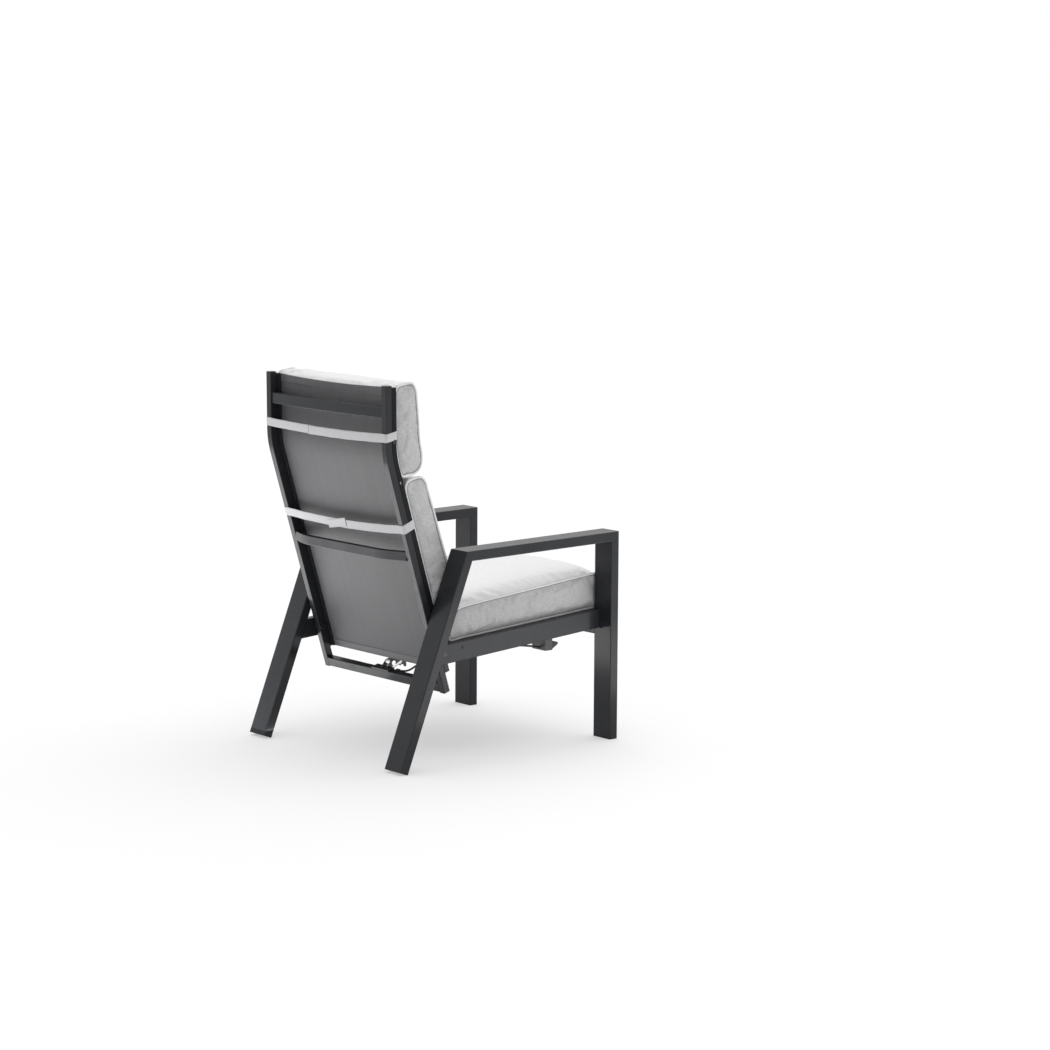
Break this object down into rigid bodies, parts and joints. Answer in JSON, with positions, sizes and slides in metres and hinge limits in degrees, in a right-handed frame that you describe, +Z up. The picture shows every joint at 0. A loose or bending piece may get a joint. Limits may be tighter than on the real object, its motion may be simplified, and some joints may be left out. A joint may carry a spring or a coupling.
{
  "type": "reclining garden armchair",
  "caption": "Garden armchair with flat-tube side frames, sling seat and back, loose cushions, and a back that reclines on a lockable gas spring.",
  "frame": {"origin": "on the floor, under the middle of the chair's box with the back upright", "axes": "+Z up, -Y the way the sitter faces, +X to the sitter's left"},
  "size_m": [0.68, 0.764, 1.0317],
  "materials": {
    "frame_coat": "matt anthracite powder coat",
    "black_plastic": "moulded black",
    "grey_plastic": "moulded anthracite",
    "black_steel": "black paint",
    "zinc_steel": "zinc plated",
    "silver_casting": "die cast",
    "chrome_rod": "polished",
    "sling_mesh": "woven coated mesh, mid grey",
    "cushion_fabric": "woven, pale grey",
    "strap_webbing": "flat webbing, light grey",
    "cable_sheath": "black sheath"
  },
  "bodies": {
    "root": {"left_front_leg": "frame_coat", "right_front_leg": "frame_coat", "left_armrest": "frame_coat", "right_armrest": "frame_coat", "left_rear_leg": "frame_coat", "right_rear_leg": "frame_coat", "left_seat_rail": "frame_coat", "right_seat_rail": "frame_coat", "rail_end_plates": "frame_coat", "front_cross_rail": "frame_coat", "spring_cross_tube": "frame_coat", "rear_stretcher": "frame_coat", "seat_sling_channels": "frame_coat", "front_glides": "grey_plastic", "rear_glides": "grey_plastic", "pivot_spacers": "black_plastic", "seat_splines": "black_plastic", "stretcher_inserts": "black_plastic", "front_spring_bracket": "black_steel", "lever_bracket": "black_steel", "recline_bolts": "black_steel", "recline_nuts": "black_steel", "stretcher_screws": "black_steel", "lever_pin": "black_steel", "lever_bracket_rivets": "black_steel", "front_spring_pin": "zinc_steel", "seat_sling": "sling_mesh", "seat_cushion": "cushion_fabric", "release_cable": "cable_sheath"},
    "backrest": {"left_back_post": "frame_coat", "right_back_post": "frame_coat", "left_back_sling_channel": "frame_coat", "right_back_sling_channel": "frame_coat", "bottom_bar": "frame_coat", "lumbar_bar": "frame_coat", "upper_bar": "frame_coat", "post_caps": "grey_plastic", "cable_clip": "black_plastic", "pivot_bushes": "black_plastic", "back_splines": "black_plastic", "rear_spring_bracket": "black_steel", "rear_spring_pin": "zinc_steel", "release_wire": "zinc_steel", "back_sling": "sling_mesh", "back_cushion": "cushion_fabric", "head_cushion": "cushion_fabric", "head_strap": "strap_webbing", "back_strap": "strap_webbing", "back_strap_lap": "strap_webbing"},
    "spring_rod": {"release_arm_pin": "zinc_steel", "piston": "zinc_steel", "release_head": "silver_casting", "piston_rod": "chrome_rod"},
    "spring_cylinder": {"spring_cylinder": "black_steel", "rod_guide": "black_steel", "front_eye": "zinc_steel"},
    "release_lever": {"release_lever": "black_plastic"},
    "release_arm": {"release_arm": "black_steel"}
  },
  "joints": [
    {"name": "recline", "type": "hinge", "parent": "root", "child": "backrest", "pos_m": [0, 0.19801, 0.29751], "axis": [-1, 0, 0], "range_deg": [0, 35], "deforming": ["release_cable", "release_wire"]},
    {"name": "spring_swing", "type": "hinge", "parent": "backrest", "child": "spring_rod", "pos_m": [0, 0.15101, 0.22801], "axis": [1, 0, 0], "range_deg": [0, 39.92], "deforming": ["release_wire"]},
    {"name": "spring_stroke", "type": "slide", "parent": "spring_rod", "child": "spring_cylinder", "axis": [0, 0.9825, -0.1863], "range_m": [0, 0.03866]},
    {"name": "lever_lift", "type": "hinge", "parent": "root", "child": "release_lever", "pos_m": [-0.241, -0.19197, 0.272], "axis": [-1, 0, 0], "range_deg": [0, 10], "stiffness_Nm_per_rad": 0.5, "springref_deg": -17.19},
    {"name": "arm_press", "type": "hinge", "parent": "spring_rod", "child": "release_arm", "pos_m": [0, 0.11171, 0.23546], "axis": [1, 0, 0], "range_deg": [0, 8.01], "deforming": ["release_wire"]}
  ],
  "couplings": [
    {"joint": "spring_swing", "follows": "recline", "ratio": 1.1404},
    {"joint": "spring_stroke", "follows": "recline", "m_per_rad": 0.063266},
    {"joint": "arm_press", "follows": "lever_lift", "ratio": 0.8}
  ]
}
